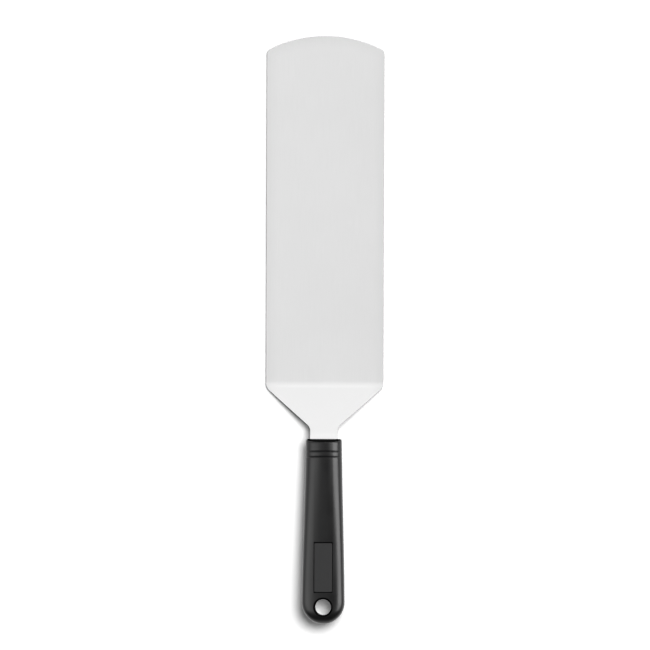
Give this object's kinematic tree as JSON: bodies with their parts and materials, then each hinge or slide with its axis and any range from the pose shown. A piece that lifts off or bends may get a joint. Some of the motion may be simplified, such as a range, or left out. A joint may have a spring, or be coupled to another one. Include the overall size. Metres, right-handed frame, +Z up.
{
  "type": "offset spatula",
  "caption": "Long offset spatula: flat rounded steel blade cranked up to a black moulded grip with ring grooves, a blank label plate and a hanging hole.",
  "frame": {"origin": "on the surface that the blade lies on, under the middle of the whole tool", "axes": "+Y runs along the tool to the blade tip, +X across it to the right as seen from above, +Z up from the surface"},
  "size_m": [0.085, 0.424, 0.0374],
  "materials": {
    "steel": "fine satin, light even grey",
    "core": "plain moulded, hidden inside the grip",
    "grip": "black polypropylene with a soft satin shine",
    "label": "fine matte texture, left blank"
  },
  "bodies": {
    "root": {"blade": "steel", "core_upper": "core", "core_lower": "core", "grip": "grip", "label_plate": "label"}
  },
  "joints": []
}
